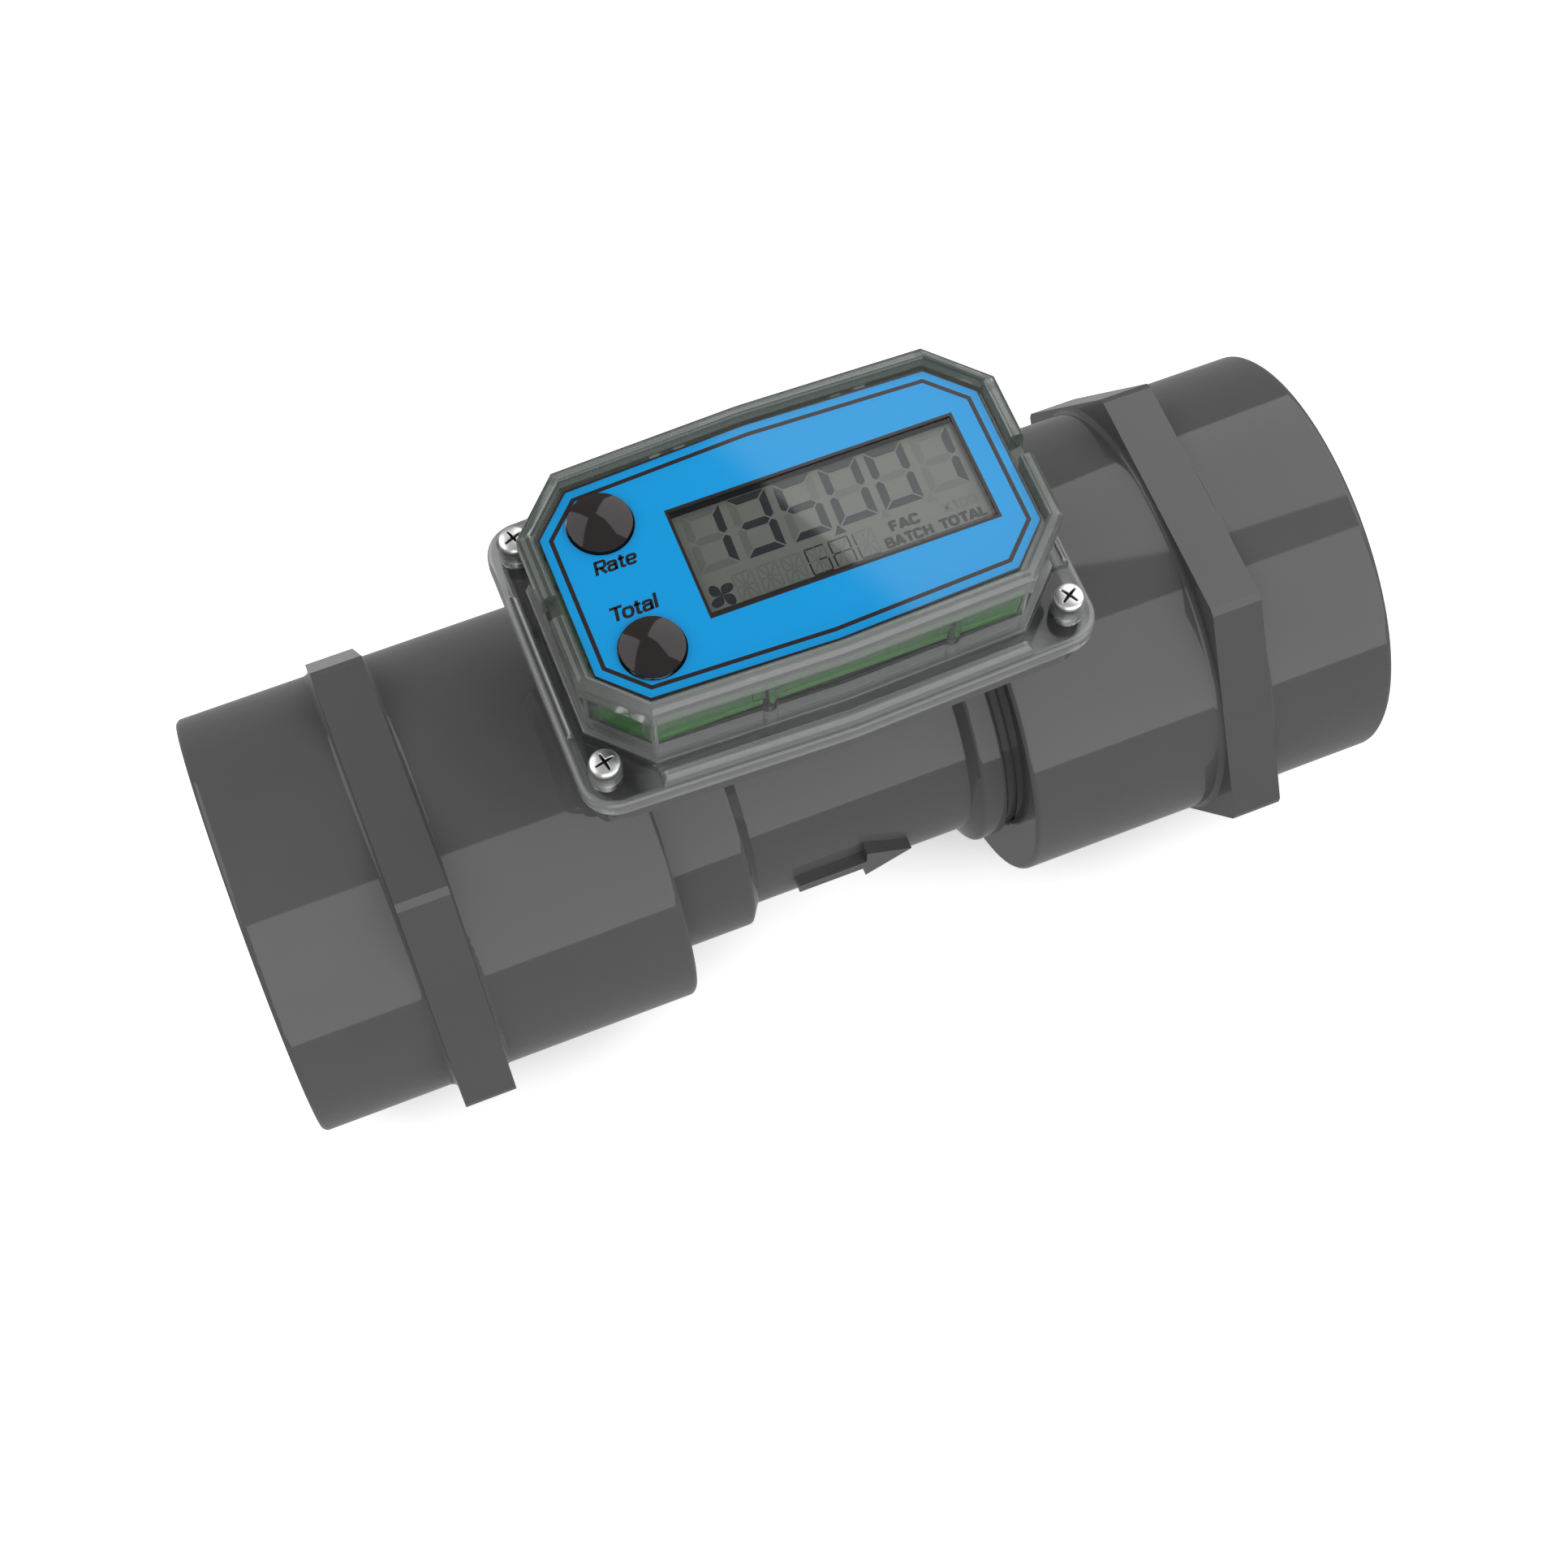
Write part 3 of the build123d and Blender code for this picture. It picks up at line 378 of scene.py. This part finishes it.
# Unit characters: under the figures are the flow sign, a wheel of four blades, and six small
# sixteen-segment cells, three of them spelling the unit. All are in millimetres.
wheel_points, wheel_radius, wheel_x, wheel_y = 96, 2.5, -14.35, -6.25
turned = np.arange(wheel_points) * 2 * np.pi / wheel_points
sweep = 1 + 0.12 * np.sign(np.sin(4 * turned)) * np.abs(np.sin(4 * turned))
blade = wheel_radius * np.abs(np.sin(2 * turned)) ** 0.42 * sweep
lit.append(in_metres(zip(blade * np.cos(turned), blade * np.sin(turned)), wheel_x, wheel_y))
half_bar, first_cell, cell_pitch, cell_foot = 0.15, -11.75, 4.22, -8.4
bars = {
    "top1": ((0, 4.9), (1.6, 4.9)), "top2": ((1.7, 4.9), (3.3, 4.9)), "mid1": ((0.15, 2.45), (1.55, 2.45)),
    "mid2": ((1.75, 2.45), (3.15, 2.45)), "low1": ((0, 0), (1.6, 0)), "low2": ((1.7, 0), (3.3, 0)),
    "ul": ((0, 2.6), (0, 4.8)), "ll": ((0, 0.1), (0, 2.3)), "ur": ((3.3, 2.6), (3.3, 4.8)),
    "lr": ((3.3, 0.1), (3.3, 2.3)), "cu": ((1.65, 2.7), (1.65, 4.7)), "cl": ((1.65, 0.2), (1.65, 2.2)),
    "d1": ((0.35, 4.6), (1.4, 2.7)), "d2": ((2.95, 4.6), (1.9, 2.7)), "d3": ((0.35, 0.3), (1.4, 2.2)),
    "d4": ((2.95, 0.3), (1.9, 2.2)),
}
spelt = {3: "top1 top2 ul ll low1 low2 lr mid2", 4: "top1 top2 ul ll ur lr mid1 mid2", 5: "ul ll low1 low2"}
for cell in range(6):
    for bar, ((xa, ya), (xb, yb)) in bars.items():
        size = math.hypot(xb - xa, yb - ya)
        nx, ny = (ya - yb) / size * half_bar, (xb - xa) / size * half_bar
        outline = [(xa + nx, ya + ny), (xa - nx, ya - ny), (xb - nx, yb - ny), (xb + nx, yb + ny)]
        outline = in_metres(outline, first_cell + cell_pitch * cell, cell_foot)
        (lit if bar in spelt.get(cell, "").split() else unlit).append(outline)
printed("lcd_lit", lit, lit_level, dark)
printed("lcd_unlit", unlit, unlit_level, faint)

# Register words: small fixed words printed in liquid crystal beside the cells, upright and in a
# plain sans serif of one stroke width. The last of them is off and only faintly seen.
small, half, usual_weight = 0.665, 0.075, 0.19
letters = {
    "R": (0.74, [[(half, 0), (half, 1)],
                 [(half, 0.925), (0.36, 0.925), (0.62, 0.925), (0.62, 0.47), (0.36, 0.47), (half, 0.47)],
                 [(0.33, 0.47), (0.63, 0)]]),
    "a": (0.66, [[(0.07, 0.5), (0.07, small), (0.3, small), (0.5, small), (0.5, 0.4), (0.5, 0)],
                 [(0.5, 0.41), (0.26, 0.42), (0.06, 0.38), (0.06, 0.06), (0.26, 0.06), (0.44, 0.08),
                  (0.5, 0.22)]]),
    "t": (0.46, [[(0.17, 0.92), (0.17, 0.25), (0.17, 0.06), (0.4, 0.07)], [(0, small), (0.38, small)]]),
    "e": (0.62, [[(0.07, 0.37), (0.54, 0.37)],
                 [(0.54, 0.35), (0.55, small), (0.3, small), (0.06, small), (0.06, 0.06), (0.32, 0.06),
                  (0.46, 0.06), (0.53, 0.17)]]),
    "T": (0.68, [[(0, 0.925), (0.7, 0.925)], [(0.35, 0.925), (0.35, 0)]]),
    "o": (0.66, [[(0.3, small), (0.05, small), (0.05, 0.06), (0.55, 0.06), (0.55, small), (0.3, small)]]),
    "l": (0.26, [[(0.09, 0), (0.09, 1.05)]]),
    "F": (0.62, [[(half, 0), (half, 1)], [(half, 0.925), (0.56, 0.925)], [(half, 0.5), (0.5, 0.5)]]),
    "A": (0.76, [[(0.03, 0), (0.36, 1)], [(0.36, 1), (0.69, 0)], [(0.14, 0.26), (0.58, 0.26)]]),
    "C": (0.78, [[(0.62, 0.7), (0.58, 0.925), (0.35, 0.925), (0.07, 0.925), (0.07, 0.075), (0.35, 0.075),
                  (0.58, 0.075), (0.62, 0.3)]]),
    "B": (0.72, [[(half, 0), (half, 1)],
                 [(half, 0.925), (0.34, 0.925), (0.56, 0.925), (0.56, 0.53), (0.34, 0.53), (half, 0.53)],
                 [(0.34, 0.53), (0.62, 0.53), (0.62, 0.075), (0.34, 0.075), (half, 0.075)]]),
    "H": (0.78, [[(half, 0), (half, 1)], [(0.62, 0), (0.62, 1)], [(half, 0.5), (0.62, 0.5)]]),
    "O": (0.78, [[(0.36, 0.925), (0.05, 0.925), (0.05, 0.075), (0.67, 0.075), (0.67, 0.925), (0.36, 0.925)]]),
    "L": (0.6, [[(half, 0), (half, 1)], [(half, half), (0.56, half)]]),
    "X": (0.72, [[(0.03, 0), (0.62, 1)], [(0.03, 1), (0.62, 0)]]),
    "1": (0.56, [[(0.1, 0.78), (0.32, 0.95)], [(0.32, 1), (0.32, 0)]]),
    "0": (0.68, [[(0.3, 0.925), (0.05, 0.925), (0.05, 0.075), (0.55, 0.075), (0.55, 0.925), (0.3, 0.925)]]),
}


def words(name, text, low, high, level, ink, slant, weight):
    """Flat letters fitted to the box from low to high. Heights are shares of a capital's, and each
    letter starts at its own left side. Each stroke's corners are cut three times at a quarter of
    their legs, and the line is then widened by half the weight to either side."""
    points, faces, start = [], [], 0.0
    for letter in text:
        advance, lines = letters[letter]
        for line in lines:
            path = np.array(line, float)
            for _ in range(3 if len(path) > 2 else 0):
                cut = np.stack([path[:-1] * 0.75 + path[1:] * 0.25, path[:-1] * 0.25 + path[1:] * 0.75], 1)
                path = np.concatenate([path[:1], cut.reshape(-1, 2), path[-1:]])
            run = np.gradient(path, axis=0)
            if np.allclose(path[0], path[-1]):
                run[0] = run[-1] = run[0] + run[-1]
            side = np.stack([-run[:, 1], run[:, 0]], 1) / np.linalg.norm(run, axis=1)[:, None] * weight / 2
            first = len(points)
            points.extend(np.stack([path + side, path - side], 1).reshape(-1, 2) + (start, 0))
            faces.extend((i, i + 1, i + 3, i + 2) for i in range(first, first + 2 * len(path) - 2, 2))
        start += advance + weight - usual_weight
    points = np.array(points)
    points[:, 0] += slant * points[:, 1]
    least, most = points.min(0), points.max(0)
    points = (points - least) / (most - least) * np.subtract(high, low) + low
    label = placed(name, np.column_stack([points, np.full(len(points), level)]).tolist(), faces, ink)
    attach(label, "meter")


dim = substance("lcd_dim", (0.02, 0.024, 0.031), 0.5, mottle=0.1, scale=3000, Specular_IOR_Level=0.02)
for name, text, low, high in (
    ("lcd_factor", "FAC", (0.0156, -0.00565), (0.0209, -0.00355)),
    ("lcd_batch", "BATCH", (0.0138, -0.00835), (0.0222, -0.0063)),
    ("lcd_total", "TOTAL", (0.0235, -0.00835), (0.0317, -0.0063)),
):
    words(name, text, low, high, lit_level, dim, slant=0, weight=0.28)
words("lcd_times", "X100", (0.0249, -0.0057), (0.0313, -0.0037), unlit_level, faint,
      slant=0, weight=0.26)

# Gasket: a cord of black rubber, laid in the deck's groove and pressed flat under the housing's
# wall when the screws are tightened.
clothe("housing_gasket", substance("rubber", (0.012, 0.012, 0.012), 0.6, mottle=0.2, scale=800))

# Display housing: one moulding of smoky clear polycarbonate, screwed to the deck. Its walls are
# etched satin round polished windows between the ribs, and its bead and flange are a little cloudy.
# On the near side the satin is painted light grey, a painted sheen of the front light, less so at
# the cut corners, and the bead there is a little cloudier. On the back and ends of the walls and
# bead the satin is dark smoky grey, and on the flange light grey. The flange's front lip and outer
# rim are painted cloudier still, as painted highlights.
flange_end, flange_side, flange_corner, rim_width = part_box("display_housing")[1].x, 0.02805, 0.0062, 0.001
wall_foot, flange_top, bead_foot = 0.1030, 0.1036, 0.1170
wall_end, wall_side, wall_cut = 0.0393, 0.0205, 0.0515
window_foot, rib_near, rib_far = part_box("circuit_board")[1].z + 0.0001, 0.0321, 0.0331
cut_window_y, end_window_x, end_window_y = 0.0143, 0.04, 0.0128
near_line, near_edge, ear_start = -0.0125, -0.0235, 0.0355


def above(value, level, soft=0.00015):
    """0 below the level and 1 above it, with a short slope between."""
    return added(value.id_data, "MapRange", value, level - soft, level + soft).outputs[0]


def below(value, level, soft=0.00015):
    """1 below the level and 0 above it, with a short slope between."""
    return added(value.id_data, "MapRange", value, level - soft, level + soft, 1, 0).outputs[0]


def both(*shares):
    """The product of shares, which is 1 only where all of them are."""
    return functools.reduce(functools.partial(reckon, "MULTIPLY"), shares)


def either(*shares):
    """The largest of shares."""
    return functools.reduce(functools.partial(reckon, "MAXIMUM"), shares)


def plus(*values):
    """The sum of values."""
    return functools.reduce(functools.partial(reckon, "ADD"), values)


def coordinates(made):
    """A material's x, y and z from the object's own origin."""
    place = added(made.node_tree, "TexCoord").outputs["Object"]
    return added(made.node_tree, "SeparateXYZ", place).outputs


clear = substance("smoky_clear", (0.86, 0.885, 0.88), 0.025, Transmission_Weight=1.0, IOR=1.5)
along, across, height = coordinates(clear)
out_x, out_y = reckon("ABSOLUTE", along), reckon("ABSOLUTE", across)
long_window = below(out_x, rib_near)
cut_window = both(above(out_x, rib_far), above(out_y, cut_window_y))
end_window = both(above(out_x, end_window_x), below(out_y, end_window_y))
window = both(either(long_window, cut_window, end_window), above(height, window_foot))
outside = either(above(out_y, wall_side), above(plus(out_x, out_y), wall_cut), above(out_x, wall_end))
etched, polished = 0.9, 0.09
etching = reckon("SUBTRACT", etched, both(window, etched - polished))
wall_cloud = both(above(height, wall_foot), below(height, bead_foot), outside, etching)

near_side = below(across, near_line, 0.002)
# Painted sheen: the bead's near side is made a little cloudier than the rest.
bead_cloud = both(above(height, bead_foot), outside, plus(both(near_side, 0.06), 0.72))

flange = below(height, flange_top)
# Painted highlight: the flange's front lip, between the ears, is made cloudier, a light band.
painted_lip_highlight = both(below(across, near_edge, 0.001), below(out_x, ear_start, 0.002))
past_end = either(reckon("SUBTRACT", out_x, flange_end - flange_corner), 0)
past_side = either(reckon("SUBTRACT", out_y, flange_side - flange_corner), 0)
from_corner = plus(reckon("POWER", past_end, 2), reckon("POWER", past_side, 2))
# Painted highlight: a light line round the flange's outer rim.
rim = above(from_corner, (flange_corner - rim_width) ** 2, 0.000002)
flange_cloud = both(flange, either(plus(both(painted_lip_highlight, 0.5), 0.2), both(rim, 0.75)))

# Painted sheen: the near side's satin is light grey, less so past the ears, for the front light on it.
painted_near_sheen = both(near_side, reckon("SUBTRACT", 0.76, both(above(out_x, ear_start, 0.003), 0.46)))
satin_and_sheen_colour = added(clear.node_tree, "Mix", data_type="RGBA", Factor=either(painted_near_sheen, flange),
                     A=(0.2, 0.235, 0.2, 1), B=(0.66, 0.67, 0.67, 1)).outputs["Result"]
satin = added(clear.node_tree, "BsdfPrincipled", Base_Color=satin_and_sheen_colour, Roughness=0.24, Coat_Weight=0.9,
              Transmission_Weight=0.66, IOR=1.5)
cloud = either(wall_cloud, bead_cloud, flange_cloud)
surface = added(clear.node_tree, "MixShader", cloud, clear.node_tree.nodes["Principled BSDF"], satin)
feed(clear.node_tree.nodes["Material Output"].inputs["Surface"], surface)
clothe("display_housing", clear)

# Housing screws: four pan-head screws of nickel-plated steel with a cross recess. They go through
# the ears of the flange into the deck, and cut their own coarse thread in the plastic.
head_radius, head_height, shank_length = 0.00262, 0.0019, 0.0118
root_radius, crest_height, screw_pitch = 0.00104, 0.00035, 0.00095
recess_depth, recess_half_width, recess_reach = 0.00105, 0.00029, 0.00168
screw_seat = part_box("housing_screws")[1].z - head_height
screw_x, screw_y, head_rings, head_around = 0.0412, 0.02215, 44, 144
plated = substance("plated", (0.97, 0.97, 0.96), 0.3, mottle=0.08, scale=500, ripple=0.06, Metallic=1.0)
# Painted shade: the cross recess is painted near black, for the shade that falls in it.
painted_recess_shade = added(plated.node_tree, "Attribute", attribute_name="recess").outputs["Fac"]
overlay(plated, painted_recess_shade, (0.03, 0.03, 0.03))


def screw_thread(depth, phase):
    """Root radius drawn to a point at the tip, plus a narrow crest over one turn that fades out
    under the head and before the tip."""
    crest = np.clip(1.1 - np.abs(phase - 0.5) * 3.4, 0, 1)
    root = root_radius * np.clip((shank_length - depth) / 0.0012, 0.02, 1)
    fade = np.clip((depth - 0.0006) / 0.0004, 0, 1) * np.clip((shank_length - 0.0008 - depth) / 0.0012, 0, 1)
    return root + crest_height * crest * fade


def screw_head(name, x, y, turn):
    """Pan head on a grid of rings and angles: from the crown outwards the radius grows with the
    sine, and the height falls with a power of the cosine to the rim. The cross, turned by so many
    degrees, is cut by its wings' depth, and the underside is flat."""
    turned = np.arange(head_around) * 2 * np.pi / head_around
    reach, angle = np.meshgrid(np.linspace(0, 1, head_rings)[1:], turned, indexing="ij")
    radius = head_radius * np.sin(reach * np.pi / 2)
    rise = head_height * (0.45 + 0.55 * np.cos(reach * np.pi / 2) ** 0.55)
    first_arm = radius * np.cos(angle - math.radians(turn))
    second_arm = radius * np.sin(angle - math.radians(turn))
    wings = np.zeros_like(radius)
    for far, off in ((first_arm, second_arm), (second_arm, first_arm)):
        wall = np.clip((recess_half_width - np.abs(off) - 0.06 * np.abs(far)) / 0.00009, 0, 1)
        wings = np.maximum(wings, wall * np.clip((recess_reach - np.abs(far)) / 0.00045, 0, 1) ** 0.6)
    radius = np.vstack([radius, np.full((1, head_around), head_radius)])
    rise = np.vstack([rise - recess_depth * wings, np.zeros((1, head_around))])
    points = np.stack([x + radius * np.cos(turned), y + radius * np.sin(turned), screw_seat + rise], -1)
    poles = [[x, y, screw_seat + head_height - recess_depth], [x, y, screw_seat]]
    points = np.concatenate([points.reshape(-1, 3), poles])
    row, col = np.meshgrid(np.arange(head_rings - 1), np.arange(head_around), indexing="ij")
    here, beside = row * head_around + col, row * head_around + (col + 1) % head_around
    quads = np.stack([here, here + head_around, beside + head_around, beside], -1).reshape(-1, 4)
    here, beside, pole = here[0], beside[0], head_rings * head_around
    crown = np.stack([np.full(head_around, pole), here, beside], -1)
    rim_start = pole - head_around
    under = np.stack([np.full(head_around, pole + 1), beside + rim_start, here + rim_start], -1)
    head = placed(name, points.tolist(), quads.tolist() + crown.tolist() + under.tolist(), plated)
    polygons = head.data.polygons
    polygons.foreach_set("use_smooth", np.arange(len(polygons)) < len(quads) + head_around)
    # The recess attribute gives where the cross recess is painted with shade.
    recess = np.concatenate([wings.ravel(), np.zeros(head_around), [1, 0]])
    head.data.attributes.new("recess", "FLOAT", "POINT").data.foreach_set("value", recess.astype(np.float32))
    return head


for number, (x, y, turn) in enumerate(
    ((-screw_x, -screw_y, 12), (screw_x, -screw_y, 31), (screw_x, screw_y, 5), (-screw_x, screw_y, 20))
):
    def under_head(depth, across, up):
        """Points at a depth under this screw's head, across its axis and along the deck."""
        return np.stack([x + across, y + up, screw_seat - depth], -1)

    head = screw_head(f"screw_head_{number}", x, y, turn)
    shank = helix_skin(f"screw_shank_{number}", shank_length, screw_pitch, steps=12, around=40,
                       radius_at=screw_thread, place=under_head, made=plated, flip=True)
    for piece in (head, shank):
        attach(piece, "meter")
        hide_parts("housing_screws")

# Face label: glossy blue polyester film, printed on its back with a dark brown line inside its edge
# and round the window, and stuck to the housing inside the bead.
label_end, label_side, label_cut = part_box("face_label")[1].x, 0.0202, 0.0521
label_peak, peak_run = 0.0012, 0.0319
window_x, window_y, window_half_length, window_half_width = 0.0076, 0.0003, 0.025, 0.0101
line_start, line_end, edge_line, window_line, print_soft = 0.00155, 0.0023, 0.00022, 0.00055, 0.00004
film = substance("film", (0.001, 0.325, 0.745), 0.06, mottle=0.03, scale=30)
along, across, _ = coordinates(film)
out_x, out_y = reckon("ABSOLUTE", along), reckon("ABSOLUTE", across)
bow = both(reckon("SUBTRACT", peak_run, out_x), label_peak / peak_run)
past_long = reckon("SUBTRACT", reckon("SUBTRACT", out_y, label_side), bow)
past_short = reckon("SUBTRACT", out_x, label_end)
past_cut = both(reckon("SUBTRACT", plus(out_x, out_y), label_cut), math.sqrt(0.5))
inward = both(either(past_long, past_short, past_cut), -1)
from_x = reckon("SUBTRACT", reckon("ABSOLUTE", reckon("SUBTRACT", along, window_x)), window_half_length)
from_y = reckon("SUBTRACT", reckon("ABSOLUTE", reckon("SUBTRACT", across, window_y)), window_half_width)
overlay(film, either(
    both(above(inward, line_start, print_soft), below(inward, line_end, print_soft)),
    below(inward, edge_line, print_soft), below(either(from_x, from_y), window_line, print_soft),
), (0.022, 0.014, 0.015))
clothe("face_label", film)

# Button names: dark ink printed on the film beside each button, slanted and in the same plain sans
# serif as the display's words.
ink = substance("ink", (0.014, 0.01, 0.011), 0.12, mottle=0.1, scale=200)
ink_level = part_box("face_label")[1].z + 0.000015
for name, text, low, high in (
    ("rate_name", "Rate", (-0.0324, 0.00352), (-0.02495, 0.0062)),
    ("total_name", "Total", (-0.0326, -0.00538), (-0.0245, -0.00255)),
):
    words(name, text, low, high, ink_level, ink, slant=0.13, weight=usual_weight)

# Buttons: glossy domes of dark brown plastic, dropped in from inside the housing and standing
# through holes in the film. Each presses a switch on the board with its plunger.
clothe("rate_button total_button", substance("button", (0.02, 0.014, 0.0145), 0.07, mottle=0.1, scale=60))
